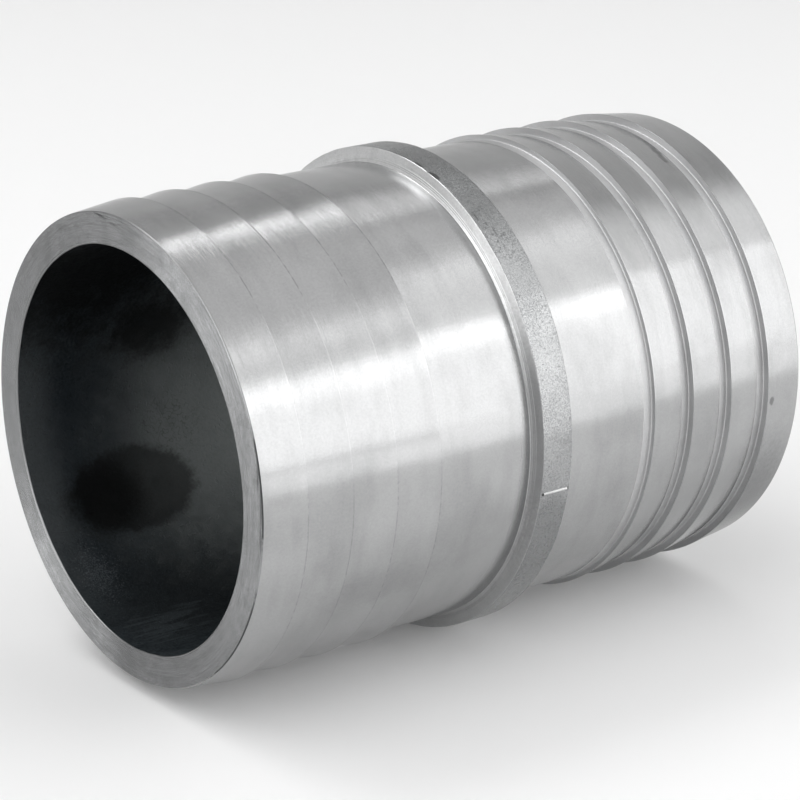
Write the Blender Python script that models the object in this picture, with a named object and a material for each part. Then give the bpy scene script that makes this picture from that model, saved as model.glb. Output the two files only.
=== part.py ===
"""Aluminium hose joiner: a collar with a barbed hose tail on each side and one plain bore right through.

The joiner is a single casting. Its tails and the sides of its collar are turned, and its bore and the
collar's band keep the skin of the mould. It lies with its bore along X and its middle at the origin.
"""

import math

import bmesh
import bpy
from mathutils import Matrix, Vector

# Driving dimensions, in metres
HOSE_BORE = 0.1020  # inside diameter of the hose, which the barb crests fill
BARB_DEPTH = 0.0016  # height of each crest above the roots
BARB_PITCH = 0.0109  # from one crest to the next
BARB_COUNT = 4  # barbs on each tail
TIP_LENGTH = 0.0102  # lead-in from the end face to the first crest
TIP_RISE = 0.0004  # height of the end rim above the roots
ROOT_WALL = 0.0064  # metal between the bore and a root
LAND_LENGTH = 0.0236  # plain stretch between the collar and the nearest barb
LAND_RISE = 0.0005  # height of that stretch above the roots
COLLAR_HEIGHT = 0.0032  # height of the band above the plain stretch
COLLAR_WIDTH = 0.0075  # width of the band
COLLAR_LEAN = 0.0010  # how much further out each side of the collar stands at its foot
EDGE_BREAK = 0.0003  # chamfer on the end rims and on the band's edges
SEGMENTS = 96  # flats round the circumference

# Sizes that follow from those
CREST_RADIUS = HOSE_BORE / 2
ROOT_RADIUS = CREST_RADIUS - BARB_DEPTH
BORE_RADIUS = ROOT_RADIUS - ROOT_WALL
TIP_RADIUS = ROOT_RADIUS + TIP_RISE
LAND_RADIUS = ROOT_RADIUS + LAND_RISE
BAND_RADIUS = LAND_RADIUS + COLLAR_HEIGHT
BAND_EDGE = COLLAR_WIDTH / 2
COLLAR_FOOT = BAND_EDGE + COLLAR_LEAN
FIRST_STEP = COLLAR_FOOT + LAND_LENGTH
LAST_STEP = FIRST_STEP + (BARB_COUNT - 1) * BARB_PITCH
HALF_LENGTH = LAST_STEP + TIP_LENGTH

SAME_RADIUS = 1e-6
SMOOTH_UNDER = math.radians(20)


def clear_scene():
    """Remove whatever the scene holds."""
    for found in list(bpy.data.objects):
        bpy.data.objects.remove(found, do_unlink=True)


def make_material(name, colour, roughness):
    """A bare metal with one colour and one roughness."""
    material = bpy.data.materials.new(name)
    material.use_nodes = True
    shader = material.node_tree.nodes["Principled BSDF"]
    shader.inputs["Base Color"].default_value = (*colour, 1.0)
    shader.inputs["Roughness"].default_value = roughness
    shader.inputs["Metallic"].default_value = 1.0
    return material


def collar_side():
    """(distance from the middle, radius) of half the band and one side of the collar, down to its foot."""
    lean_per_height = COLLAR_LEAN / COLLAR_HEIGHT
    return [
        (BAND_EDGE - EDGE_BREAK, BAND_RADIUS),
        (BAND_EDGE + EDGE_BREAK * lean_per_height, BAND_RADIUS - EDGE_BREAK),
        (COLLAR_FOOT, LAND_RADIUS),
    ]


def barb_teeth():
    """The sawtooth of one tail: each step faces the collar, and each ramp falls away towards the end."""
    teeth = []
    for index in range(BARB_COUNT):
        step = FIRST_STEP + index * BARB_PITCH
        foot_radius = ROOT_RADIUS if index else LAND_RADIUS
        teeth += [(step, foot_radius), (step, CREST_RADIUS)]
    return teeth


def tail_end():
    """The chamfered rim of the end face, and the sharp mouth of the bore."""
    return [
        (HALF_LENGTH - EDGE_BREAK, TIP_RADIUS),
        (HALF_LENGTH, TIP_RADIUS - EDGE_BREAK),
        (HALF_LENGTH, BORE_RADIUS),
    ]


def joiner_outline():
    """The closed outline of the metal above the bore axis, the same on both sides of the middle."""
    half = collar_side() + barb_teeth() + tail_end()
    mirrored = [(-distance, radius) for distance, radius in reversed(half)]
    return half + mirrored


def revolve(outline):
    """Turn a closed outline about X into a mesh, with one of its flats at the bottom."""
    shape = bmesh.new()
    half_flat = Matrix.Rotation(math.pi / SEGMENTS, 4, "X")
    points = [shape.verts.new(half_flat @ Vector((x, 0.0, radius))) for x, radius in outline]
    edges = [shape.edges.new((points[i - 1], points[i])) for i in range(len(points))]
    bmesh.ops.spin(
        shape,
        geom=points + edges,
        cent=(0.0, 0.0, 0.0),
        axis=(1.0, 0.0, 0.0),
        angle=math.tau,
        steps=SEGMENTS,
        use_merge=True,
    )
    bmesh.ops.recalc_face_normals(shape, faces=shape.faces)
    return shape


def on_cast_skin(face):
    """Whether a face lies in the bore or on the collar's band, which the lathe leaves alone."""
    radii = [math.hypot(vert.co.y, vert.co.z) for vert in face.verts]
    in_bore = max(radii) < BORE_RADIUS + SAME_RADIUS
    on_band = min(radii) > BAND_RADIUS - SAME_RADIUS
    return in_bore or on_band


def make_joiner():
    """The whole joiner, as one object."""
    shape = revolve(joiner_outline())
    for face in shape.faces:
        face.material_index = int(on_cast_skin(face))
    mesh = bpy.data.meshes.new("joiner_body")
    shape.to_mesh(mesh)
    shape.free()
    mesh.materials.append(make_material("turned_aluminium", (0.68, 0.69, 0.69), 0.32))
    mesh.materials.append(make_material("cast_aluminium", (0.40, 0.41, 0.40), 0.62))
    mesh.shade_smooth()
    mesh.set_sharp_from_angle(angle=SMOOTH_UNDER)
    joiner = bpy.data.objects.new("joiner_body", mesh)
    bpy.context.scene.collection.objects.link(joiner)
    return joiner


clear_scene()
make_joiner()
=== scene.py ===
"""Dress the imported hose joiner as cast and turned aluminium, and set it in a plain pale studio.

The joiner is one casting. Its tails, end faces and collar sides are turned, and its bore and the collar's
band keep the skin of the mould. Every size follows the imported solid, which the dressed mesh stands for.
"""

import logging
import math
from collections.abc import Iterator, Mapping
from contextlib import contextmanager
from dataclasses import dataclass, field
from enum import Enum

import bmesh
import bpy
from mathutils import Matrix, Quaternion, Vector


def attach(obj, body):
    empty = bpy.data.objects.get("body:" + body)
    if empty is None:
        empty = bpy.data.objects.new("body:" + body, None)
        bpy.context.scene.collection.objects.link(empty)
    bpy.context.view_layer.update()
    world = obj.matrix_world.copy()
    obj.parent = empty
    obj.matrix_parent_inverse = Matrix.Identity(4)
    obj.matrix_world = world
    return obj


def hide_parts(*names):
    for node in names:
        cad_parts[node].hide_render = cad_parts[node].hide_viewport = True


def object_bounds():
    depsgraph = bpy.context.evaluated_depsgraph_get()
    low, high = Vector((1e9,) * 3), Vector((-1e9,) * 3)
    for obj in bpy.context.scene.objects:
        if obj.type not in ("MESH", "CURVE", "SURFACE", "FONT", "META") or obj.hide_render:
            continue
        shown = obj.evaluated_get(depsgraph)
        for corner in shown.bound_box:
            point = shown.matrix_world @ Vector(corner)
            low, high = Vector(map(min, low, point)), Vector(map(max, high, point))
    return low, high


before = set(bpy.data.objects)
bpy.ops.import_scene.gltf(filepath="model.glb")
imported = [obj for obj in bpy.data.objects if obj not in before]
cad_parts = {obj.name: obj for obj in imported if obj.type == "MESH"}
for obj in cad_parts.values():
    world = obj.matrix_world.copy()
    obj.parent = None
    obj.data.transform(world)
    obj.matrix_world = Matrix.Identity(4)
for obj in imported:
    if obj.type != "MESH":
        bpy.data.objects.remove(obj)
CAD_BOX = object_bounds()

NODE = "joiner_body"
BODY = "root"
MM = 0.001
SAME_PLACE = 0.004 * MM
NOISE_MIDDLE = 0.5
PATCH_EDGE = 1.0
LAMP_POWER = 4.0
WHITE = (1.0, 1.0, 1.0, 1.0)
# The dark of the marks, which painted shade uses as well.
MARK_AND_SHADE_COLOUR = (0.035, 0.037, 0.037)
SEEN_RAYS = ("Is Camera Ray", "Is Glossy Ray", "Is Transmission Ray")

Triple = tuple[float, float, float]
Colour = Triple
Span = tuple[float, float]

log = logging.getLogger("joiner")


# Named choices


class Zone(Enum):
    """The finishes of the joiner, in the order of its material slots."""

    TAIL = 0
    STEP = 1
    FACE = 2
    SIDE = 3
    BAND = 4
    BORE = 5
    RIM = 6
    FLASH = 7
    MOUTH = 8
    ROOT = 9


class Grain(Enum):
    """What breaks up the edge of a mark."""

    MOULD = "the grain of the metal"
    DRAWN = "streaks along the bore"
    WRINKLED = "the thin wrinkles of the mould's skin"
    SPECKED = "specks as fine as dust"


class Detail(Enum):
    """How many finer layers a noise has."""

    SMOOTH = 1.0
    PLAIN = 2.0
    FINE = 3.0
    CLOUDY = 4.0
    TORN = 5.0


# Shader nodes


@dataclass(frozen=True)
class Term:
    """A number in a shader, on which arithmetic adds Math nodes."""

    graph: "Graph"
    socket: bpy.types.NodeSocket

    def __add__(self, other: "Term | float") -> "Term":
        """This number plus another."""
        return self.graph.math("ADD", self, other)

    def __radd__(self, other: float) -> "Term":
        """A plain number plus this one."""
        return self.graph.math("ADD", other, self)

    def __sub__(self, other: "Term | float") -> "Term":
        """This number less another."""
        return self.graph.math("SUBTRACT", self, other)

    def __rsub__(self, other: float) -> "Term":
        """A plain number less this one."""
        return self.graph.math("SUBTRACT", other, self)

    def __mul__(self, other: "Term | float") -> "Term":
        """This number times another."""
        return self.graph.math("MULTIPLY", self, other)

    def __rmul__(self, other: float) -> "Term":
        """A plain number times this one."""
        return self.graph.math("MULTIPLY", other, self)

    def __abs__(self) -> "Term":
        """This number without its sign."""
        return self.graph.math("ABSOLUTE", self, 0.0)


Link = Term | bpy.types.NodeSocket | float | tuple[float, ...]


class Graph:
    """The nodes of one material, which read the piece's own Object coordinates, or those of the room."""

    def __init__(self, owner: bpy.types.Material | bpy.types.World) -> None:
        """Start from the nodes that a new material or room has.

        Args:
            owner: The material, or the room around the joiner.
        """
        owner.use_nodes = True
        self.owner = owner
        self.tree = owner.node_tree
        self.place = self.node("ShaderNodeTexCoord").outputs["Object"]

    def node(
        self,
        kind: str,
        settings: Mapping[str, object] | None = None,
        sockets: Mapping[str, Link] | None = None,
    ) -> bpy.types.Node:
        """Add a node.

        Args:
            kind: The node's type.
            settings: Its own settings, which are set first.
            sockets: Values or links of its inputs, by identifier.

        Returns:
            The node.
        """
        made = self.tree.nodes.new(kind)
        for key, value in (settings or {}).items():
            setattr(made, key, value)
        self.feed(made, sockets or {})
        return made

    def feed(self, target: bpy.types.Node, sockets: Mapping[str, Link]) -> None:
        """Set or link a node's inputs.

        Args:
            target: The node.
            sockets: Values or links, by the input's identifier.
        """
        inputs = {socket.identifier: socket for socket in target.inputs}
        for key, value in sockets.items():
            source = value.socket if isinstance(value, Term) else value
            if isinstance(source, bpy.types.NodeSocket):
                self.tree.links.new(source, inputs[key])
            else:
                inputs[key].default_value = source

    def math(self, operation: str, first: "Term | float", second: "Term | float") -> Term:
        """Add a Math node.

        Args:
            operation: What it does.
            first: Its first number.
            second: Its second number.

        Returns:
            The result.
        """
        made = self.node("ShaderNodeMath", {"operation": operation}, {"Value": first, "Value_001": second})
        return Term(self, made.outputs[0])

    def vector(self, operation: str, sockets: Mapping[str, Link]) -> bpy.types.Node:
        """Add a Vector Math node.

        Args:
            operation: What it does.
            sockets: Its inputs, by identifier.

        Returns:
            The node.
        """
        return self.node("ShaderNodeVectorMath", {"operation": operation}, sockets)

    def stretched(self, along: Triple) -> bpy.types.NodeSocket:
        """Object coordinates stretched along the axes.

        Args:
            along: The factor on each axis.

        Returns:
            The stretched coordinates.
        """
        made = self.vector("MULTIPLY", {"Vector": self.place, "Vector_001": along})
        return made.outputs["Vector"]

    def along(self, axis: str) -> Term:
        """Distance along X, Y or Z from the middle of the joiner."""
        made = self.node("ShaderNodeSeparateXYZ", sockets={"Vector": self.place})
        return Term(self, made.outputs[axis])

    def radius(self) -> Term:
        """Distance from the bore's axis."""
        made = self.vector("LENGTH", {"Vector": self.stretched((0.0, 1.0, 1.0))})
        return Term(self, made.outputs["Value"])

    def circles(self, drift: float) -> bpy.types.NodeSocket:
        """Coordinates that change with the radius, and only slowly round the axis.

        Args:
            drift: How fast they change otherwise, as a share of the change with the radius.

        Returns:
            The coordinates.
        """
        slow = self.stretched((drift, drift, drift))
        out = self.node("ShaderNodeCombineXYZ", sockets={"X": self.radius()})
        made = self.vector("ADD", {"Vector": slow, "Vector_001": out.outputs["Vector"]})
        return made.outputs["Vector"]

    def noise(self, vector: bpy.types.NodeSocket, grain: float, detail: Detail = Detail.PLAIN) -> Term:
        """Smooth noise from 0 to 1.

        Args:
            vector: Where it is read.
            grain: The size of its features, in metres.
            detail: How many finer layers it has.

        Returns:
            The noise.
        """
        sockets = {"Vector": vector, "Scale": 1.0 / grain, "Detail": detail.value}
        made = self.node("ShaderNodeTexNoise", sockets=sockets)
        return Term(self, made.outputs["Fac"])

    def step(self, value: Term, span: Span) -> Term:
        """A soft step.

        Args:
            value: What is measured.
            span: Where the step starts, at 0, and where it ends, at 1.

        Returns:
            A number from 0 to 1.
        """
        sockets = {"Value": value, "From Min": span[0], "From Max": span[1]}
        made = self.node("ShaderNodeMapRange", {"interpolation_type": "SMOOTHSTEP"}, sockets)
        return Term(self, made.outputs["Result"])

    def patch(self, centre: Triple, reach: Triple) -> Term:
        """Distance from the middle of a patch, in units of its reach.

        Args:
            centre: The patch's middle.
            reach: Its half size along each axis.

        Returns:
            0 in the middle, 1 at the edge.
        """
        scale = tuple(1.0 / size for size in reach)
        shift = tuple(-place * factor for place, factor in zip(centre, scale))
        sockets = {"Vector": self.place, "Scale": scale, "Location": shift}
        mapped = self.node("ShaderNodeMapping", {"vector_type": "POINT"}, sockets)
        made = self.vector("LENGTH", {"Vector": mapped.outputs["Vector"]})
        return Term(self, made.outputs["Value"])

    def blend(
        self, factor: Term, first: Colour | bpy.types.NodeSocket, second: Colour
    ) -> bpy.types.NodeSocket:
        """Mix two colours.

        Args:
            factor: 0 for the first, 1 for the second.
            first: A colour, or a link to one.
            second: A colour.

        Returns:
            The mixed colour.
        """
        start = first if isinstance(first, bpy.types.NodeSocket) else (*first, 1.0)
        sockets = {"Factor_Float": factor, "A_Color": start, "B_Color": (*second, 1.0)}
        made = self.node("ShaderNodeMix", {"data_type": "RGBA"}, sockets)
        return next(socket for socket in made.outputs if socket.identifier == "Result_Color")

    def finish(
        self, colour: bpy.types.NodeSocket, roughness: Term, height: Term, depth: float
    ) -> bpy.types.Material:
        """Join the finished channels to the metal.

        Args:
            colour: Its colour.
            roughness: Its roughness.
            height: The relief of its surface, from 0 to 1.
            depth: What 1 measures, in metres.

        Returns:
            The material.
        """
        bump = self.node("ShaderNodeBump", sockets={"Strength": 1.0, "Distance": depth, "Height": height})
        channels = {
            "Base Color": colour,
            "Roughness": roughness,
            "Metallic": 1.0,
            "Normal": bump.outputs["Normal"],
        }
        self.feed(self.tree.nodes["Principled BSDF"], channels)
        return self.owner

    def seen(self) -> Term:
        """Tell the rays that look from the rays that only light.

        Returns:
            1 for a ray from the camera, from gloss or from glass, 0 for one that only lights.
        """
        ray = self.node("ShaderNodeLightPath")
        camera, gloss, glass = (Term(self, ray.outputs[name]) for name in SEEN_RAYS)
        return self.math("MAXIMUM", self.math("MAXIMUM", camera, gloss), glass)


# Marks and finishes


@dataclass(frozen=True)
class Mark:
    """A patch of another tone on the metal: a smear, a nick or a stain, or a patch of painted shade or
    painted light.

    Its place is in millimetres along the axis and out from it, and in degrees from the top towards -Y. Its
    reach is its half size along each axis, in millimetres.
    """

    at: Triple
    reach: Triple
    depth: float
    colour: Colour = MARK_AND_SHADE_COLOUR
    soft: float = 0.3
    ragged: float = 0.9
    grain: Grain = Grain.MOULD

    def centre(self) -> Triple:
        """The mark's middle, in metres."""
        x, radius, angle = self.at
        turn = math.radians(angle)
        return (x * MM, -radius * math.sin(turn) * MM, radius * math.cos(turn) * MM)

    def laid_on(
        self, graph: Graph, colour: bpy.types.NodeSocket, grains: Mapping[Grain, Term]
    ) -> bpy.types.NodeSocket:
        """Change a colour where the mark lies.

        Args:
            graph: The material's nodes.
            colour: The colour so far.
            grains: Noise from 0 to 1 that breaks up the mark, for each grain that the finish has.

        Returns:
            The colour with the mark on it.
        """
        away = graph.patch(self.centre(), tuple(size * MM for size in self.reach))
        edge = away + self.ragged * (grains[self.grain] - NOISE_MIDDLE)
        shade = self.depth * graph.step(edge, (PATCH_EDGE + self.soft, PATCH_EDGE - self.soft))
        return graph.blend(shade, colour, self.colour)


@dataclass(frozen=True)
class CrestLines:
    """The edges of the barbs' crests: painted shade, broken, on top and below, and at the side worn bright
    metal with a painted highlight.
    """

    first: float
    pitch: float
    width: float = 0.42 * MM
    full_width: float = 0.2
    start: Span = (-0.02 * MM, 0.0)
    depth: float = 0.60
    colour: Colour = (0.16, 0.16, 0.165)
    worn_highlight_colour: Colour = (0.72, 0.72, 0.725)
    worn_highlight_depth: float = 0.40
    top: Span = (33 * MM, 40 * MM)
    side: Span = (-4 * MM, 12 * MM)
    near_tail: Span = (1 * MM, -1 * MM)
    shaded_all: float = 0.20
    shaded_near: float = 0.45
    shaded_top: float = 0.35
    shaded_break: Span = (0.30, 0.62)
    worn_highlight_break: Span = (0.25, 0.45)
    side_relief: float = 0.5

    def edge(self, graph: Graph) -> Term:
        """Where the edge of each barb's crest lies.

        Args:
            graph: The material's nodes.

        Returns:
            1 on an edge, 0 elsewhere.
        """
        past_first = abs(graph.along("X")) - self.first
        past_crest = graph.math("FLOORED_MODULO", past_first, self.pitch)
        line = graph.step(past_crest, (self.width, self.full_width * self.width))
        return line * graph.step(past_first, self.start)

    def drawn_on(self, graph: Graph, colour: bpy.types.NodeSocket, ragged: Term) -> bpy.types.NodeSocket:
        """Draw the lines.

        Args:
            graph: The material's nodes.
            colour: The colour so far.
            ragged: Noise from 0 to 1 that breaks up the lines.

        Returns:
            The colour with the lines on it.
        """
        edge = self.edge(graph)
        height = graph.along("Z")
        on_top = graph.step(height, self.top)
        at_side = graph.step(height, self.side) * (1.0 - on_top)
        near_tail = graph.step(graph.along("X"), self.near_tail)
        # Painted shade on the crest edges, strongest on top and on the -X tail and weaker at the side, where
        # worn metal carries a painted highlight.
        strength = self.shaded_all + self.shaded_near * near_tail + self.shaded_top * on_top
        shaded = edge * graph.step(ragged, self.shaded_break) * strength * (1.0 - self.side_relief * at_side)
        worn_highlight = edge * at_side * graph.step(ragged, self.worn_highlight_break)
        dark = graph.blend(self.depth * shaded, colour, self.colour)
        return graph.blend(self.worn_highlight_depth * self.depth * worn_highlight, dark, self.worn_highlight_colour)


@dataclass(frozen=True)
class TurnedFinish:
    """Satin turned metal, with fine tool lines round the axis and the smudges of handling."""

    name: str
    colour: Colour = (0.485, 0.487, 0.490)
    dull: Colour = (0.335, 0.338, 0.340)
    roughness: float = 0.15
    feed: float = 0.07 * MM
    depth: float = 0.009 * MM
    line_drift: float = 0.01
    ring_feeds: float = 10.0
    chatter_drift: float = 0.06
    chatter_grain: float = 1.3 * MM
    sway_grain: float = 7 * MM
    wipe_drift: float = 0.25
    wipe_grain: float = 4 * MM
    wipe_span: Span = (0.40, 0.75)
    wipe_depth: float = 0.22
    smudge_grain: float = 19 * MM
    smudge_span: Span = (0.42, 0.70)
    smudge_depth: float = 0.35
    speckle_grain: float = 0.45 * MM
    speckle_depth: float = 0.6
    clean_share: float = 0.05
    ragged_grain: float = 1.1 * MM
    handled_roughness: float = 0.05
    ring_roughness: float = 0.04
    ring_height: float = 0.8
    chatter_height: float = 0.6
    sway_height: float = 4.0
    crests: CrestLines | None = None
    marks: tuple[Mark, ...] = ()

    def material(self) -> bpy.types.Material:
        """Make the finish.

        Returns:
            The finish as a material.
        """
        graph = Graph(bpy.data.materials.new(self.name))
        round_axis = graph.stretched((1.0, self.line_drift, self.line_drift))
        lines = graph.noise(round_axis, self.feed, Detail.SMOOTH)
        rings = graph.noise(round_axis, self.ring_feeds * self.feed)
        chatter = graph.noise(graph.stretched((self.chatter_drift, 1.0, 1.0)), self.chatter_grain)
        sway = graph.noise(graph.place, self.sway_grain)
        wiped = graph.stretched((1.0, self.wipe_drift, self.wipe_drift))
        wipe = graph.noise(wiped, self.wipe_grain, Detail.FINE)
        smudge = graph.noise(graph.place, self.smudge_grain, Detail.CLOUDY)
        speckle = graph.noise(graph.place, self.speckle_grain, Detail.FINE)
        ragged = graph.noise(graph.place, self.ragged_grain, Detail.CLOUDY)
        smudged = self.smudge_depth * graph.step(smudge, self.smudge_span)
        handled = smudged + self.wipe_depth * graph.step(wipe, self.wipe_span)
        dulled = handled + self.speckle_depth * speckle - self.clean_share
        colour = graph.blend(dulled, self.colour, self.dull)
        if self.crests:
            colour = self.crests.drawn_on(graph, colour, ragged)
        for mark in self.marks:
            colour = mark.laid_on(graph, colour, {Grain.MOULD: ragged})
        roughness = self.roughness + self.handled_roughness * handled + self.ring_roughness * rings
        height = lines + self.ring_height * rings + self.chatter_height * chatter + self.sway_height * sway
        return graph.finish(colour, roughness, height, self.depth)


@dataclass(frozen=True)
class FacedFinish:
    """Metal faced across the axis, with tool lines in circles round it."""

    name: str
    colour: Colour = (0.39, 0.395, 0.400)
    dull: Colour = (0.23, 0.235, 0.238)
    roughness: float = 0.18
    feed: float = 0.10 * MM
    depth: float = 0.45 * MM
    drift: float = 0.006
    wide_feeds: float = 5.0
    wide_span: Span = (0.45, 0.65)
    wide_depth: float = 0.10
    wide_height: float = 0.3
    mottle: float = 3.2 * MM
    mottle_span: Span = (0.42, 0.66)
    mottle_depth: float = 0.30
    speckle_grain: float = 0.40 * MM
    speckle_depth: float = 1.2
    clean_share: float = 0.35
    ragged_grain: float = 0.9 * MM
    handled_roughness: float = 0.10
    line_roughness: float = 0.06
    marks: tuple[Mark, ...] = ()

    def material(self) -> bpy.types.Material:
        """Make the finish.

        Returns:
            The finish as a material.
        """
        graph = Graph(bpy.data.materials.new(self.name))
        circles = graph.circles(self.drift)
        lines = graph.noise(circles, self.feed)
        wide = graph.noise(circles, self.wide_feeds * self.feed)
        mottle = graph.noise(graph.place, self.mottle, Detail.TORN)
        speckle = graph.noise(graph.place, self.speckle_grain, Detail.FINE)
        ragged = graph.noise(graph.place, self.ragged_grain, Detail.CLOUDY)
        mottled = self.mottle_depth * graph.step(mottle, self.mottle_span)
        handled = mottled + self.wide_depth * graph.step(wide, self.wide_span)
        dulled = handled + self.speckle_depth * speckle - self.clean_share
        colour = graph.blend(dulled, self.colour, self.dull)
        for mark in self.marks:
            colour = mark.laid_on(graph, colour, {Grain.MOULD: ragged})
        roughness = self.roughness + self.handled_roughness * handled + self.line_roughness * lines
        return graph.finish(colour, roughness, lines + self.wide_height * wide, self.depth)


@dataclass(frozen=True)
class CastFinish:
    """The skin that the mould leaves: grain, small pits, wrinkles and uneven tone."""

    name: str
    colour: Colour = (0.40, 0.405, 0.408)
    dull: Colour = (0.20, 0.205, 0.207)
    roughness: float = 0.20
    grain: float = 0.36 * MM
    grain_span: Span = (0.62, 0.36)
    grain_depth: float = 0.45
    depth: float = 0.03 * MM
    mottle: float = 14 * MM
    mottle_span: Span = (0.40, 0.68)
    mottle_depth: float = 0.30
    lump_grains: float = 5.0
    lump_span: Span = (0.62, 0.38)
    lump_depth: float = 0.0
    lump_height: float = 0.8
    pit_grains: float = 1.6
    pit_span: Span = (0.60, 0.72)
    pit_depth: float = 0.4
    pit_height: float = 0.7
    fold_grain: float = 1.4 * MM
    fold_span: Span = (0.030, 0.008)
    wrinkled_span: Span = (0.46, 0.56)
    wrinkle_depth: float = 0.0
    drawn_drift: float = 0.10
    drawn_grain: float = 1.1 * MM
    speck_grain: float = 0.35 * MM
    edge_grain: float = 0.3
    edge_lumps: float = 0.7
    shade_roughness: float = 0.16
    marks: tuple[Mark, ...] = ()

    def material(self) -> bpy.types.Material:
        """Make the finish.

        Returns:
            The finish as a material.
        """
        graph = Graph(bpy.data.materials.new(self.name))
        grain = graph.noise(graph.place, self.grain)
        lumps = graph.noise(graph.place, self.lump_grains * self.grain)
        tone = graph.noise(graph.place, self.mottle, Detail.CLOUDY)
        drawn = graph.noise(graph.stretched((self.drawn_drift, 1.0, 1.0)), self.drawn_grain)
        folds = graph.noise(graph.place, self.fold_grain, Detail.SMOOTH)
        specks = graph.noise(graph.place, self.speck_grain, Detail.SMOOTH)
        wrinkle = graph.step(abs(folds - NOISE_MIDDLE), self.fold_span)
        pit = graph.step(graph.noise(graph.place, self.pit_grains * self.grain), self.pit_span)
        blotch = self.mottle_depth * graph.step(tone, self.mottle_span)
        lumpy = blotch + self.lump_depth * graph.step(lumps, self.lump_span)
        hollow = self.grain_depth * graph.step(grain, self.grain_span) + lumpy
        wrinkled = self.wrinkle_depth * wrinkle * graph.step(tone, self.wrinkled_span)
        shade = hollow + self.pit_depth * pit + wrinkled
        colour = graph.blend(shade, self.colour, self.dull)
        grains = {
            Grain.MOULD: self.edge_grain * grain + self.edge_lumps * lumps,
            Grain.DRAWN: drawn,
            Grain.WRINKLED: 1.0 - wrinkle,
            Grain.SPECKED: specks,
        }
        for mark in self.marks:
            colour = mark.laid_on(graph, colour, grains)
        roughness = self.roughness + self.shade_roughness * shade
        height = grain + self.lump_height * lumps - self.pit_height * pit
        return graph.finish(colour, roughness, height, self.depth)


@dataclass(frozen=True)
class PaleFloor:
    """Matt pale paper that keeps the joiner's shadow, and that camera and metal see a little whiter."""

    name: str = "pale_floor"
    colour: Colour = (0.88, 0.88, 0.88)
    roughness: float = 0.9
    gloss: float = 0.1
    share: float = 0.08
    white_strength: float = 1.0

    def material(self) -> bpy.types.Material:
        """Make the finish.

        Returns:
            The finish as a material.
        """
        graph = Graph(bpy.data.materials.new(self.name))
        nodes, links = graph.tree.nodes, graph.tree.links
        paper = nodes["Principled BSDF"]
        channels = {
            "Base Color": (*self.colour, 1.0),
            "Roughness": self.roughness,
            "Specular IOR Level": self.gloss,
        }
        graph.feed(paper, channels)
        white = graph.node("ShaderNodeEmission", sockets={"Strength": self.white_strength})
        mixed = graph.node("ShaderNodeMixShader", sockets={"Fac": self.share * graph.seen()})
        links.new(paper.outputs["BSDF"], mixed.inputs[1])
        links.new(white.outputs["Emission"], mixed.inputs[2])
        links.new(mixed.outputs["Shader"], nodes["Material Output"].inputs["Surface"])
        return graph.owner


# Marks that the photograph shows, by zone


TAIL_MARKS_AND_PAINTED_SHADE = (
    Mark(at=(57.4, 50.4, 8.0), reach=(1.7, 3.4, 2.0), depth=0.22),
    Mark(at=(58.8, 50.2, 12.5), reach=(1.5, 2.6, 2.0), depth=0.40),
    Mark(at=(58.2, 50.2, 16.0), reach=(1.0, 2.4, 2.2), depth=0.50),
    Mark(at=(57.5, 50.2, 19.5), reach=(0.8, 2.0, 2.0), depth=0.55),
    Mark(at=(57.0, 50.2, 22.8), reach=(0.7, 1.9, 1.9), depth=0.45),
    Mark(at=(59.8, 50.2, 26.3), reach=(0.6, 0.9, 0.9), depth=0.60),
    Mark(at=(62.4, 50.8, 92.8), reach=(0.7, 1.0, 1.0), depth=0.50),
    # Painted shade: the underside of the +X tail darkened for the shadow on the floor that it reflects.
    Mark(at=(66.0, 50.4, 138.0), reach=(11.0, 23.0, 23.0), depth=0.80,
         colour=(0.12, 0.122, 0.124), soft=0.6, ragged=0.4),
    Mark(at=(46.0, 50.2, 122.0), reach=(15.0, 20.0, 20.0), depth=0.30,
         colour=(0.22, 0.222, 0.224), soft=0.7, ragged=0.4),
    Mark(at=(-39.0, 50.2, 116.5), reach=(14.0, 4.5, 4.5), depth=0.24,
         colour=(0.16, 0.162, 0.164), soft=0.6, ragged=0.7),
    Mark(at=(-66.5, 50.2, 84.0), reach=(4.0, 3.0, 3.0), depth=0.14,
         colour=(0.16, 0.162, 0.164), soft=0.6, ragged=1.2),
)
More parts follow.
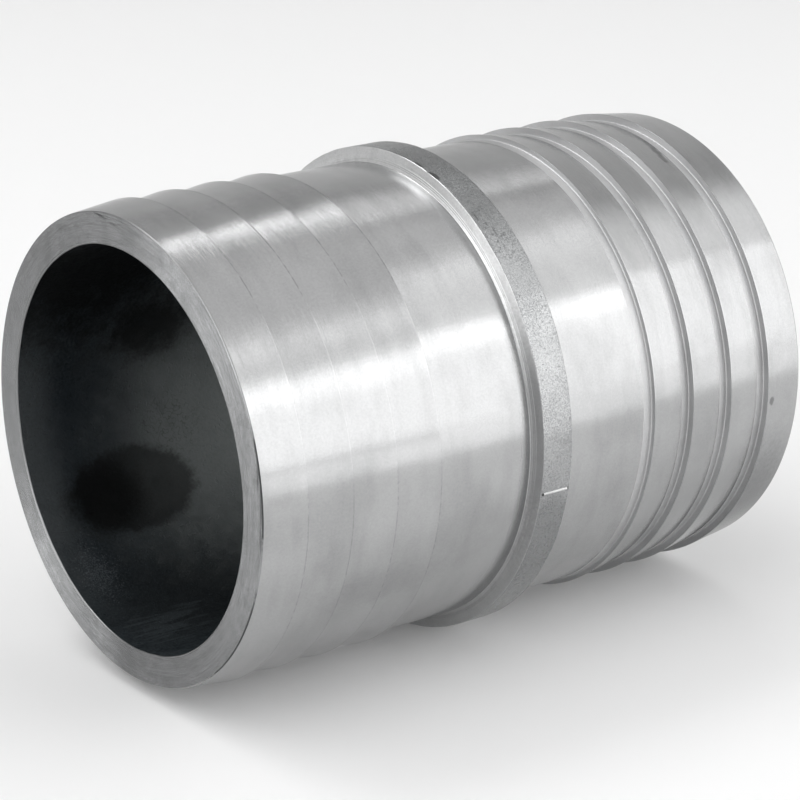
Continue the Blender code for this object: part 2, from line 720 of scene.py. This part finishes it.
# Darker patches round the end face: a wide one towards +Y, and smaller ones at the top and low down.
FACE_DARKER_TONE = (0.15, 0.152, 0.154)
FACE_MARKS_AND_PAINTED_SHADE = (
    Mark(at=(-71.25, 46.4, -74.0), reach=(3.0, 40.0, 40.0), depth=0.50,
         colour=FACE_DARKER_TONE, soft=0.5, ragged=0.3),
    Mark(at=(-71.25, 46.4, -168.0), reach=(3.0, 13.0, 13.0), depth=0.50,
         colour=FACE_DARKER_TONE, soft=0.6, ragged=0.5),
    Mark(at=(-71.25, 46.4, 150.0), reach=(3.0, 20.0, 20.0), depth=0.42,
         colour=FACE_DARKER_TONE, soft=0.6, ragged=0.5),
    Mark(at=(-71.25, 48.0, 13.0), reach=(3.0, 7.0, 7.0), depth=0.45,
         colour=FACE_DARKER_TONE, soft=0.6, ragged=0.5),
    Mark(at=(-71.25, 49.2, -8.0), reach=(1.0, 1.9, 0.20), depth=0.75),
    Mark(at=(-71.25, 48.7, -6.0), reach=(1.0, 1.6, 0.16), depth=0.55),
    Mark(at=(-71.25, 47.9, -2.0), reach=(1.0, 1.7, 0.22), depth=0.50),
    Mark(at=(-71.25, 48.3, 1.0), reach=(1.0, 0.9, 0.15), depth=0.45),
    # Painted shade: dark lines at the lower side of the end face's outer edge, where its round turns from
    # the light.
    Mark(at=(-71.25, 49.35, 79.0), reach=(1.0, 0.35, 3.6), depth=0.55),
    Mark(at=(-71.25, 49.35, 87.0), reach=(1.0, 0.30, 4.2), depth=0.60),
    Mark(at=(-71.25, 49.30, 95.0), reach=(1.0, 0.35, 3.0), depth=0.50),
)
SIDE_PAINTED_SHADE = (
    # Painted shade: the lower side of the collar darkened, where the joiner shades it near the floor.
    Mark(at=(-4.3, 51.5, 86.0), reach=(3.0, 25.0, 25.0), depth=0.72,
         colour=(0.20, 0.202, 0.204), soft=0.6, ragged=0.5),
    Mark(at=(-4.3, 51.5, 138.0), reach=(3.0, 30.0, 30.0), depth=0.50,
         colour=(0.24, 0.242, 0.244), soft=0.5, ragged=0.4),
)
RIM_PAINTED_SHADE = (
    # Painted shade: the lower side of the end's rounded rim darkened, broken into patches.
    Mark(at=(-71.1, 49.7, 83.0), reach=(1.2, 11.0, 11.0), depth=0.85),
    Mark(at=(-71.1, 49.7, 126.0), reach=(1.2, 14.0, 14.0), depth=0.85),
)
BAND_MARKS_AND_PAINTED_LIGHT = (
    # Painted shade: the band darker on top.
    Mark(at=(0.0, 53.1, 2.0), reach=(9.0, 26.0, 26.0), depth=0.50,
         colour=(0.13, 0.135, 0.137), soft=0.5),
    # Painted highlight: the band a little lighter at its side, where the front lamp's reflection lies.
    Mark(at=(0.0, 53.1, 82.0), reach=(9.0, 18.0, 18.0), depth=0.12,
         colour=(0.50, 0.50, 0.505), soft=0.5),
    Mark(at=(0.0, 53.1, 127.0), reach=(9.0, 24.0, 24.0), depth=0.48,
         colour=(0.20, 0.205, 0.207), soft=0.08, ragged=0.10),
    Mark(at=(-3.4, 53.0, 17.0), reach=(0.8, 2.2, 1.2), depth=0.85),
    Mark(at=(-3.3, 53.0, 11.0), reach=(0.5, 1.6, 0.9), depth=0.60),
    Mark(at=(-1.2, 53.1, 38.0), reach=(1.3, 3.2, 3.2), depth=0.42,
         soft=0.5, ragged=2.6, grain=Grain.WRINKLED),
    Mark(at=(-2.6, 53.1, 33.0), reach=(0.25, 1.1, 1.1), depth=0.40),
    Mark(at=(-0.6, 53.1, 37.5), reach=(0.22, 1.2, 1.2), depth=0.40),
)
BORE_MARKS_AND_PAINTED_LIGHT = (
    # Painted light: the bore's far wall lighter in its middle and just inside the -X mouth, where light
    # comes in.
    Mark(at=(-22.0, 43.0, -112.0), reach=(26.0, 30.0, 30.0), depth=0.85,
         colour=(0.32, 0.34, 0.335), soft=0.7),
    Mark(at=(-70.0, 43.0, -106.0), reach=(7.0, 28.0, 28.0), depth=0.40,
         colour=(0.24, 0.255, 0.26), soft=0.7, ragged=1.4),
    Mark(at=(-53.0, 43.0, -102.0), reach=(11.0, 15.0, 15.0), depth=0.48,
         colour=(0.012, 0.019, 0.028), soft=0.6, ragged=0.6),
    # Painted shade: the upper inside of the bore darkened, where little light reaches.
    Mark(at=(-58.0, 43.0, -42.0), reach=(24.0, 24.0, 24.0), depth=0.84,
         colour=(0.012, 0.012, 0.012), soft=0.45, ragged=1.4),
    Mark(at=(-38.0, 43.0, -76.0), reach=(10.0, 7.0, 7.0), depth=0.80,
         colour=(0.012, 0.012, 0.012), soft=0.5, ragged=1.6),
    Mark(at=(-50.0, 43.0, -166.0), reach=(18.0, 13.0, 13.0), depth=0.40, soft=0.6),
    Mark(at=(-47.0, 43.0, -124.0), reach=(15.5, 9.8, 9.8), depth=0.68,
         colour=(0.02, 0.02, 0.02), soft=0.12, ragged=0.45),
    Mark(at=(-54.5, 43.0, -124.5), reach=(9.0, 8.0, 8.0), depth=0.75,
         colour=(0.01, 0.01, 0.01), soft=0.4),
    # Painted glints: light specks low in the bore near the -X mouth.
    Mark(at=(-64.0, 43.0, -147.0), reach=(1.1, 1.9, 1.9), depth=0.26,
         colour=(0.36, 0.39, 0.42), soft=0.4, ragged=22.0, grain=Grain.SPECKED),
    Mark(at=(-34.0, 43.0, -108.0), reach=(4.0, 4.0, 4.0), depth=0.35,
         soft=0.5, ragged=2.0, grain=Grain.WRINKLED),
    # Light streaks along the bottom of the bore: real scratches, with painted light on them.
    Mark(at=(-60.0, 43.0, -174.0), reach=(5.0, 3.6, 1.2), depth=0.17,
         colour=(0.25, 0.29, 0.31), soft=0.8, ragged=12.0, grain=Grain.DRAWN),
)


# Shape


@dataclass(frozen=True)
class Station:
    """One ring of the joiner's outline."""

    x: float
    radius: float


def radius_of(point: Vector) -> float:
    """A point's distance from the bore's axis."""
    return math.hypot(point.y, point.z)


def lies_on(point: Vector, station: Station) -> bool:
    """Whether a point is on a station's ring."""
    off = abs(radius_of(point) - station.radius)
    return abs(point.x - station.x) < SAME_PLACE and off < SAME_PLACE


def turned_from_top(point: Vector) -> float:
    """A point's angle about the axis, from the top towards -Y, in degrees."""
    return math.degrees(math.atan2(-point.y, point.z))


@dataclass
class Lathe:
    """Turns a closed ring of metal about X, from one station of its outline to the next."""

    name: str
    flats: int
    made: bpy.types.Object | None = None
    here: Station | None = None

    def start(self, station: Station) -> None:
        """Lay down the first ring.

        Args:
            station: Where it lies.
        """
        bpy.ops.object.select_all(action="DESELECT")
        bpy.ops.mesh.primitive_circle_add(
            vertices=self.flats,
            radius=station.radius,
            fill_type="NOTHING",
            location=(station.x, 0.0, 0.0),
            rotation=(0.0, math.pi / 2, 0.0),
        )
        self.made = bpy.context.object
        self.made.name = self.name
        self.made.data.name = self.name
        bpy.ops.object.transform_apply(location=True, rotation=True, scale=True)
        bpy.ops.object.mode_set(mode="EDIT")
        bpy.ops.mesh.select_all(action="SELECT")
        self.here = station

    def cut_to(self, station: Station) -> None:
        """Draw the surface on to another ring.

        Args:
            station: Where that ring lies.
        """
        move = (station.x - self.here.x, 0.0, 0.0)
        grow = station.radius / self.here.radius
        bpy.ops.mesh.extrude_region_move(TRANSFORM_OT_translate={"value": move})
        bpy.ops.transform.resize(value=(1.0, grow, grow), center_override=(station.x, 0.0, 0.0))
        self.here = station

    def close(self) -> None:
        """Join the last ring to the first, with all faces outwards."""
        bpy.ops.mesh.select_all(action="DESELECT")
        bpy.ops.mesh.select_mode(type="EDGE")
        bpy.ops.mesh.select_non_manifold(extend=False, use_wire=False, use_multi_face=False, use_verts=False)
        bpy.ops.mesh.bridge_edge_loops()
        bpy.ops.mesh.select_all(action="SELECT")
        bpy.ops.mesh.normals_make_consistent(inside=False)
        bpy.ops.mesh.select_all(action="DESELECT")

    @contextmanager
    def picking(self, mode: str) -> Iterator[bmesh.types.BMesh]:
        """Open the mesh to select parts of it in code.

        Args:
            mode: VERT, EDGE or FACE.

        Yields:
            The mesh in edit mode, with nothing selected.
        """
        bpy.ops.mesh.select_all(action="DESELECT")
        bpy.ops.mesh.select_mode(type=mode)
        shape = bmesh.from_edit_mesh(self.made.data)
        yield shape
        shape.select_flush_mode()
        bmesh.update_edit_mesh(self.made.data)

    def round_edge(self, station: Station, width: float, facets: int) -> None:
        """Round the edge at one ring.

        Args:
            station: The ring.
            width: How far the round reaches on each side.
            facets: How many facets it has.
        """
        with self.picking("EDGE") as shape:
            for edge in shape.edges:
                edge.select_set(all(lies_on(vert.co, station) for vert in edge.verts))
        bpy.ops.mesh.bevel(offset=width, offset_type="OFFSET", segments=facets, affect="EDGES")


@dataclass
class HoseJoiner:
    """The joiner's casting, as the lathe and the mould leave it."""

    # The solid's sizes
    hose_bore: float = 102.0 * MM
    barb_depth: float = 1.6 * MM
    barb_pitch: float = 10.9 * MM
    barb_count: int = 4
    tip_length: float = 10.2 * MM
    tip_rise: float = 0.4 * MM
    root_wall: float = 6.4 * MM
    land_length: float = 23.6 * MM
    land_rise: float = 0.5 * MM
    collar_height: float = 3.2 * MM
    collar_width: float = 7.5 * MM
    collar_lean: float = 1.0 * MM
    # How finely the mesh is divided
    flats: int = 384
    bore_rings: int = 36
    band_rings: int = 12
    facet: float = 0.08 * MM
    least_facets: int = 3
    # Rounds on the edges
    rim_round: float = 0.30 * MM
    lip_round: float = 0.15 * MM
    crest_round: float = 0.06 * MM
    root_round: float = 0.32 * MM
    foot_round: float = 0.12 * MM
    mouth_round: float = 0.45 * MM
    # Tool grooves in the collar's sides, as shares of the side's height
    groove_places: tuple[float, ...] = (0.55, 0.68, 0.80)
    groove_width: float = 0.03
    groove_depth: float = 0.045 * MM
    # The mould's parting line and waves
    flash_angle: float = 100.3
    flash_margin: float = 0.14 * MM
    flash_slope: float = 0.20 * MM
    flash_height: float = 0.26 * MM
    band_wave: float = 3.0 * MM
    band_wave_depth: float = 0.16 * MM
    bore_wave: float = 9.0 * MM
    bore_wave_depth: float = 0.22 * MM
    # Where one finish ends and the next starts
    root_width: float = 2.3 * MM
    bore_skin: float = 0.02 * MM
    face_skin: float = 0.05 * MM
    flash_skin: float = 0.03 * MM
    face_lean: float = 0.98
    step_lean: float = 0.95
    foot_share: float = 0.7
    mouth_rounds: float = 2.0
    # Shading
    sharp_angle: float = 35.0
    normal_weight: int = 100
    lathe: Lathe = field(init=False)

    def __post_init__(self) -> None:
        """Work out the sizes that follow from the others."""
        self.crest = self.hose_bore / 2
        self.root = self.crest - self.barb_depth
        self.bore = self.root - self.root_wall
        self.tip = self.root + self.tip_rise
        self.land = self.root + self.land_rise
        self.band = self.land + self.collar_height
        self.band_edge = self.collar_width / 2
        self.foot = self.band_edge + self.collar_lean
        self.first_step = self.foot + self.land_length
        self.end = self.first_step + (self.barb_count - 1) * self.barb_pitch + self.tip_length
        self.lathe = Lathe("hose_joiner", self.flats)

    def steps(self) -> list[tuple[Station, Station]]:
        """Place the steps of the +X tail.

        Returns:
            The foot and the crest of each barb's step, from the collar out.
        """
        pairs = []
        for index in range(self.barb_count):
            x = self.first_step + index * self.barb_pitch
            pairs.append((Station(x, self.root if index else self.land), Station(x, self.crest)))
        return pairs

    def root_edge(self, low: Station) -> Station:
        """Where the dull corner at the foot of a step starts, on the metal before it."""
        slope = self.barb_depth / self.barb_pitch if low.radius < self.land else 0.0
        return Station(low.x - self.root_width, low.radius + slope * self.root_width)

    def side_grooves(self) -> list[Station]:
        """Place the tool grooves in the +X side of the collar.

        Returns:
            Both edges and the bottom of each groove, from the lip down.
        """
        stations = []
        for middle in self.groove_places:
            for offset, cut in ((-1, 0.0), (0, self.groove_depth), (1, 0.0)):
                down = middle + offset * self.groove_width
                x = self.band_edge + down * self.collar_lean - cut
                stations.append(Station(x, self.band - down * self.collar_height))
        return stations

    def half_outline(self) -> list[Station]:
        """Draw the outside of the +X half.

        Returns:
            Its stations, from the collar's lip to the bore's mouth.
        """
        barbs = [station for low, high in self.steps() for station in (self.root_edge(low), low, high)]
        lip, foot = Station(self.band_edge, self.band), Station(self.foot, self.land)
        rim, mouth = Station(self.end, self.tip), Station(self.end, self.bore)
        return [lip, *self.side_grooves(), foot, *barbs, rim, mouth]

    def outline(self) -> list[Station]:
        """Draw the whole closed outline.

        Returns:
            Its stations, from the middle of the bore out of its -X mouth and round.
        """
        half = self.half_outline()
        mirrored = [Station(-station.x, station.radius) for station in reversed(half)]
        band_step = self.collar_width / self.band_rings
        band = [Station(-self.band_edge + i * band_step, self.band) for i in range(1, self.band_rings)]
        half_rings = self.bore_rings // 2
        bore_step = self.end / half_rings
        out = [Station(-i * bore_step, self.bore) for i in range(half_rings)]
        back = [Station(self.end - i * bore_step, self.bore) for i in range(1, half_rings)]
        return [*out, *mirrored, *band, *half, *back]

    def turn(self) -> None:
        """Turn the outline into a closed mesh."""
        first, *rest = self.outline()
        self.lathe.start(first)
        for station in rest:
            self.lathe.cut_to(station)
        self.lathe.close()

    def break_edges(self) -> None:
        """Round each edge as a tool, a file or the mould leaves it."""
        rounds = [
            (Station(self.band_edge, self.band), self.lip_round),
            (Station(self.foot, self.land), self.foot_round),
            (Station(self.end, self.tip), self.rim_round),
            (Station(self.end, self.bore), self.mouth_round),
        ]
        for low, high in self.steps():
            rounds += [(low, self.root_round), (high, self.crest_round)]
        for station, width in rounds:
            facets = max(self.least_facets, round(width / self.facet))
            self.lathe.round_edge(station, width, facets)
            self.lathe.round_edge(Station(-station.x, station.radius), width, facets)

    def zone_of(self, centre: Vector, normal: Vector) -> Zone:
        """The finish of a face.

        Args:
            centre: The face's middle.
            normal: The way it faces.

        Returns:
            The finish.
        """
        radius, x, lean = radius_of(centre), abs(centre.x), abs(normal.x)
        if radius < self.bore + self.bore_skin:
            return Zone.BORE
        if x > self.end - self.face_skin and lean > self.face_lean:
            return Zone.FACE
        if x > self.end - self.rim_round and radius > self.tip - self.rim_round:
            return Zone.RIM
        if radius > self.band + self.flash_skin:
            return Zone.FLASH
        if x < self.band_edge - self.lip_round / 2 and radius > self.land + self.collar_height / 2:
            return Zone.BAND
        if x < self.foot and radius > self.land + self.foot_share * self.foot_round:
            return Zone.SIDE
        if radius < self.bore + self.mouth_rounds * self.mouth_round:
            return Zone.MOUTH
        return self.tail_zone_of(centre, lean)

    def tail_zone_of(self, centre: Vector, lean: float) -> Zone:
        """The finish of a face on the land or the barbs.

        The corners at the feet of the steps are dull for some way on the +X tail, and on the other tail only
        in the round itself.

        Args:
            centre: The face's middle.
            lean: How far it faces along the axis, from 0 to 1.

        Returns:
            The finish.
        """
        x = abs(centre.x)
        past_steps = x > self.end - self.tip_length + self.root_round
        if past_steps or radius_of(centre) > self.crest - self.crest_round:
            return Zone.TAIL
        if lean > self.step_lean:
            return Zone.STEP
        dull = self.root_width if centre.x > 0.0 else self.root_round
        to_step = (self.first_step - x) % self.barb_pitch
        return Zone.ROOT if to_step < dull and x > self.first_step - dull else Zone.TAIL

    def raise_flash(self) -> None:
        """Raise the thin ridge where the two halves of the mould met, across the band on both sides."""
        half_turn = 180.0
        half_flat = half_turn / self.flats
        for angle in (self.flash_angle, self.flash_angle - half_turn):
            with self.lathe.picking("FACE") as shape:
                for face in shape.faces:
                    centre = face.calc_center_median()
                    on_band = self.zone_of(centre, face.normal) is Zone.BAND
                    close = abs(turned_from_top(centre) - angle) < half_flat
                    face.select_set(on_band and close)
            bpy.ops.mesh.inset(thickness=self.flash_margin)
            bpy.ops.mesh.inset(thickness=self.flash_slope, depth=self.flash_height)

    def finishes(self) -> dict[Zone, TurnedFinish | FacedFinish | CastFinish]:
        """Choose the finishes.

        Returns:
            The finish of each zone.
        """
        return {
            Zone.TAIL: TurnedFinish(
                "turned_tail", crests=CrestLines(self.first_step, self.barb_pitch), marks=TAIL_MARKS_AND_PAINTED_SHADE
            ),
            # Painted light: the steps are lighter than the tail's metal, for the bright surroundings that
            # they reflect.
            Zone.STEP: TurnedFinish(
                "turned_step", colour=(0.58, 0.58, 0.585), dull=(0.45, 0.45, 0.455), roughness=0.42
            ),
            Zone.FACE: FacedFinish("faced_end", marks=FACE_MARKS_AND_PAINTED_SHADE),
            Zone.SIDE: FacedFinish(
                "faced_side",
                colour=(0.70, 0.703, 0.706),
                dull=(0.52, 0.523, 0.526),
                roughness=0.28,
                depth=0.03 * MM,
                marks=SIDE_PAINTED_SHADE,
            ),
            Zone.BAND: CastFinish("cast_band", wrinkle_depth=0.15, marks=BAND_MARKS_AND_PAINTED_LIGHT),
            Zone.BORE: CastFinish(
                "cast_bore",
                colour=(0.080, 0.095, 0.104),
                dull=(0.023, 0.029, 0.034),
                roughness=0.5,
                grain=0.62 * MM,
                mottle=7 * MM,
                mottle_depth=0.35,
                lump_depth=0.30,
                wrinkle_depth=0.05,
                marks=BORE_MARKS_AND_PAINTED_LIGHT,
            ),
            Zone.RIM: TurnedFinish(
                "filed_rim",
                colour=(0.36, 0.363, 0.366),
                dull=(0.20, 0.202, 0.204),
                roughness=0.30,
                marks=RIM_PAINTED_SHADE,
            ),
            Zone.FLASH: TurnedFinish("trimmed_flash", colour=(0.66, 0.66, 0.66), roughness=0.30),
            Zone.MOUTH: TurnedFinish(
                "eased_mouth", colour=(0.27, 0.272, 0.274), dull=(0.17, 0.172, 0.174), roughness=0.32
            ),
            # Painted light: the corners at the feet of the steps are lighter than the tail's metal, to hide
            # the shade that the steps reflect into them.
            Zone.ROOT: TurnedFinish(
                "turned_root", colour=(0.58, 0.582, 0.585), dull=(0.44, 0.442, 0.445), roughness=0.46
            ),
        }

    def paint(self) -> None:
        """Give each zone its finish, and leave edit mode."""
        bpy.ops.object.mode_set(mode="OBJECT")
        mesh = self.lathe.made.data
        finishes = self.finishes()
        for zone in Zone:
            mesh.materials.append(finishes[zone].material())
        for face in mesh.polygons:
            face.material_index = self.zone_of(face.center, face.normal).value

    def roughen(self, zone: Zone, size: float, depth: float) -> None:
        """Give a cast zone the slight waves of its mould.

        Args:
            zone: Which zone.
            size: How wide the waves are.
            depth: How deep they are.
        """
        made = self.lathe.made
        group = made.vertex_groups.new(name=zone.name.lower())
        faces = [face for face in made.data.polygons if face.material_index == zone.value]
        corners = {corner for face in faces for corner in face.vertices}
        group.add(sorted(corners), 1.0, "REPLACE")
        waves = bpy.data.textures.new(f"{group.name}_waves", "CLOUDS")
        waves.noise_scale = size
        modifier = made.modifiers.new(group.name, "DISPLACE")
        modifier.texture = waves
        modifier.texture_coords = "LOCAL"
        modifier.vertex_group = group.name
        modifier.strength = depth
        bpy.ops.object.modifier_apply(modifier=modifier.name)
        made.vertex_groups.clear()

    def even_shading(self) -> None:
        """Shade the rounds smooth and keep the flat faces flat."""
        bpy.ops.object.shade_smooth_by_angle(angle=math.radians(self.sharp_angle))
        even = self.lathe.made.modifiers.new("even_normals", "WEIGHTED_NORMAL")
        even.keep_sharp = True
        even.weight = self.normal_weight
        bpy.ops.object.modifier_apply(modifier=even.name)

    def build(self) -> bpy.types.Object:
        """Model and dress the joiner.

        Returns:
            The finished piece.
        """
        self.turn()
        self.break_edges()
        self.raise_flash()
        self.paint()
        self.roughen(Zone.BAND, self.band_wave, self.band_wave_depth)
        self.roughen(Zone.BORE, self.bore_wave, self.bore_wave_depth)
        self.even_shading()
        made = self.lathe.made
        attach(made, BODY)
        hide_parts(NODE)
        return made


# Studio


def direction(azimuth: float, elevation: float) -> Vector:
    """The way out from the joiner.

    Args:
        azimuth: Its angle from -Y towards +X, in degrees.
        elevation: Its angle above the floor, in degrees.

    Returns:
        A vector of length 1.
    """
    turn, lift = math.radians(azimuth), math.radians(elevation)
    flat = math.cos(lift)
    return Vector((math.sin(turn) * flat, -math.cos(turn) * flat, math.sin(lift)))


@dataclass(frozen=True)
class Softbox:
    """A soft lamp that faces the joiner from a given direction."""

    name: str
    azimuth: float
    elevation: float
    distance: float
    width: float
    height: float
    radiance: float
    roll: float = 0.0
    lights_floor: bool = True

    def build(self) -> bpy.types.Object:
        """Hang the lamp.

        Returns:
            The lamp's object.
        """
        light = bpy.data.lights.new(self.name, "AREA")
        light.shape = "RECTANGLE"
        light.size = self.width
        light.size_y = self.height
        light.energy = LAMP_POWER * self.width * self.height * self.radiance
        lamp = bpy.data.objects.new(self.name, light)
        out = direction(self.azimuth, self.elevation)
        lamp.location = out * self.distance
        upright = out.to_track_quat("Z", "Y")
        lamp.rotation_euler = (upright @ Quaternion((0.0, 0.0, 1.0), math.radians(self.roll))).to_euler()
        lamp.visible_camera = False
        lamp.visible_diffuse = self.lights_floor
        bpy.context.scene.collection.objects.link(lamp)
        return lamp


LAMPS = (
    Softbox("left_top", azimuth=-94.0, elevation=55.0, distance=1.5,
            width=1.9, height=0.9, radiance=1.15),
    Softbox("left_window", azimuth=-93.0, elevation=13.0, distance=1.3,
            width=0.9, height=0.65, radiance=2.15, lights_floor=False),
    Softbox("front_left", azimuth=-52.0, elevation=26.0, distance=1.3,
            width=0.6, height=0.9, radiance=0.9),
    Softbox("right_front", azimuth=33.5, elevation=16.8, distance=1.25,
            width=1.68, height=0.85, radiance=1.12, roll=-4.5),
    Softbox("front_low", azimuth=32.0, elevation=-5.5, distance=0.30,
            width=0.42, height=0.048, radiance=0.50, lights_floor=False),
    Softbox("right_top", azimuth=50.0, elevation=42.0, distance=1.2,
            width=1.5, height=0.60, radiance=0.66),
    Softbox("over_top", azimuth=62.0, elevation=65.0, distance=1.2,
            width=1.3, height=0.62, radiance=0.28),
    Softbox("over_back", azimuth=-160.0, elevation=60.0, distance=1.4,
            width=0.6, height=0.5, radiance=3.2),
    Softbox("back_spot", azimuth=133.0, elevation=58.5, distance=1.3,
            width=0.36, height=0.13, radiance=2.0),
    Softbox("back_dim", azimuth=128.0, elevation=46.0, distance=1.3,
            width=0.34, height=0.16, radiance=0.70),
)


@dataclass
class Studio:
    """A plain pale sweep, soft lamps and the camera where the photograph was taken."""

    floor_level: float
    floor_radius: float = 1.6
    floor_flats: int = 96
    sweep_radius: float = 0.8
    sweep_steps: int = 9
    wall_height: float = 1.8
    surround: float = 0.56
    room_light: float = 0.46
    camera_azimuth: float = -37.08
    camera_elevation: float = 18.646
    camera_distance: float = 0.66225
    camera_lens: float = 136.77
    clip_start: float = 0.01
    clip_end: float = 20.0
    aim_right: float = -0.37 * MM
    aim_up: float = -3.13 * MM

    def stops(self) -> list[Vector]:
        """Draw the curve from the floor's edge up to the top of the wall.

        Returns:
            The distance from the middle and the height of each ring.
        """
        centre = Vector((self.floor_radius, self.floor_level + self.sweep_radius))
        quarter = 90.0
        arc = [math.radians(quarter * i / self.sweep_steps) for i in range(1, self.sweep_steps + 1)]
        curve = [centre + self.sweep_radius * Vector((math.sin(a), -math.cos(a))) for a in arc]
        return [*curve, Vector((centre.x + self.sweep_radius, self.floor_level + self.wall_height))]

    def sweep(self) -> bpy.types.Object:
        """Make the round floor, which curves up into a wall.

        Returns:
            The floor's object.
        """
        bpy.ops.object.select_all(action="DESELECT")
        bpy.ops.mesh.primitive_circle_add(
            vertices=self.floor_flats,
            radius=self.floor_radius,
            fill_type="NGON",
            location=(0.0, 0.0, self.floor_level),
        )
        floor = bpy.context.object
        floor.name = "pale_floor"
        bpy.ops.object.transform_apply(location=True, rotation=True, scale=True)
        bpy.ops.object.mode_set(mode="EDIT")
        bpy.ops.mesh.select_mode(type="EDGE")
        bpy.ops.mesh.select_all(action="DESELECT")
        bpy.ops.mesh.select_non_manifold(extend=False)
        here = Vector((self.floor_radius, self.floor_level))
        for stop in self.stops():
            bpy.ops.mesh.extrude_edges_move(TRANSFORM_OT_translate={"value": (0.0, 0.0, stop.y - here.y)})
            grow = stop.x / here.x
            bpy.ops.transform.resize(value=(grow, grow, 1.0), center_override=(0.0, 0.0, stop.y))
            here = stop
        bpy.ops.mesh.select_all(action="SELECT")
        bpy.ops.mesh.normals_make_consistent(inside=True)
        bpy.ops.object.mode_set(mode="OBJECT")
        bpy.ops.object.shade_smooth()
        floor.data.materials.append(PaleFloor().material())
        return floor

    def light(self) -> None:
        """Hang the lamps and set the light of the room around them."""
        for lamp in LAMPS:
            lamp.build()
        room = Graph(bpy.data.worlds.new("studio_room"))
        strength = self.room_light + (self.surround - self.room_light) * room.seen()
        room.feed(room.tree.nodes["Background"], {"Color": WHITE, "Strength": strength})
        bpy.context.scene.world = room.owner

    def camera(self) -> bpy.types.Object:
        """Put the camera where the photograph was taken.

        Returns:
            The camera's object.
        """
        turn = math.radians(self.camera_azimuth)
        back = direction(self.camera_azimuth, self.camera_elevation)
        right = Vector((math.cos(turn), math.sin(turn), 0.0))
        up = back.cross(right)
        lens = bpy.data.cameras.new("photo_camera")
        lens.lens = self.camera_lens
        lens.clip_start = self.clip_start
        lens.clip_end = self.clip_end
        camera = bpy.data.objects.new("photo_camera", lens)
        camera.location = self.aim_right * right + self.aim_up * up + self.camera_distance * back
        camera.rotation_euler = back.to_track_quat("Z", "Y").to_euler()
        bpy.context.scene.collection.objects.link(camera)
        bpy.context.scene.camera = camera
        return camera

    def build(self) -> None:
        """Set up the whole studio."""
        self.sweep()
        self.light()
        self.camera()
        bpy.context.scene.view_settings.view_transform = "Standard"


def main() -> None:
    """Build the joiner and its studio, and report each piece."""
    logging.basicConfig(level=logging.INFO, format="%(name)s: %(message)s")
    joiner = HoseJoiner().build()
    log.info("%s: %d faces", joiner.name, len(joiner.data.polygons))
    Studio(floor_level=CAD_BOX[0].z).build()
    log.info("studio: floor, lamps and camera")


if __name__ == "__main__":
    main()
